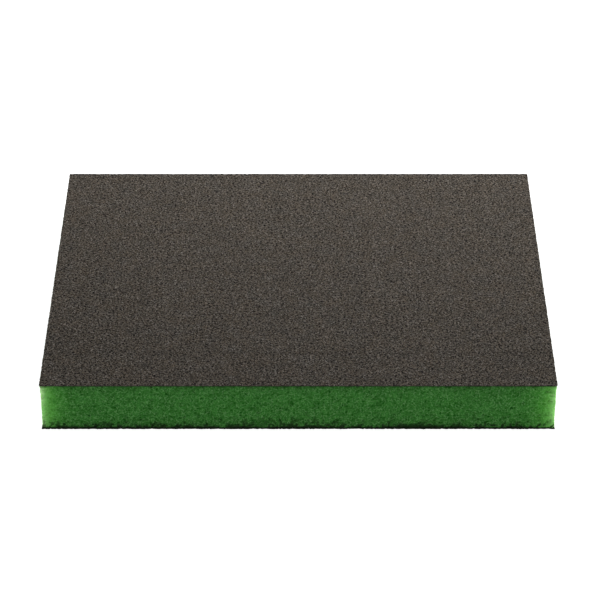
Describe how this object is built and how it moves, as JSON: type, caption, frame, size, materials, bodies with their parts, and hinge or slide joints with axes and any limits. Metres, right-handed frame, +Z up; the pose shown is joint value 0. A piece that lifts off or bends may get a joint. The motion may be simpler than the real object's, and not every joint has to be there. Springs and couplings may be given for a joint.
{
  "type": "sanding block",
  "caption": "Flat flexible foam sanding block with an abrasive face above and below, for hand sanding flat and gently curved surfaces.",
  "frame": {"origin": "centre of the lower working face, which is also the surface the block rests on", "axes": "+X along the long edge, +Y across the block, +Z up through its thickness"},
  "size_m": [0.123, 0.097, 0.013],
  "materials": {
    "foam": "matte",
    "bond_film": "satin",
    "grit": "matte"
  },
  "bodies": {
    "root": {"foam_core": "foam", "upper_bond_film": "bond_film", "upper_grit_layer": "grit", "lower_bond_film": "bond_film", "lower_grit_layer": "grit"}
  },
  "joints": []
}
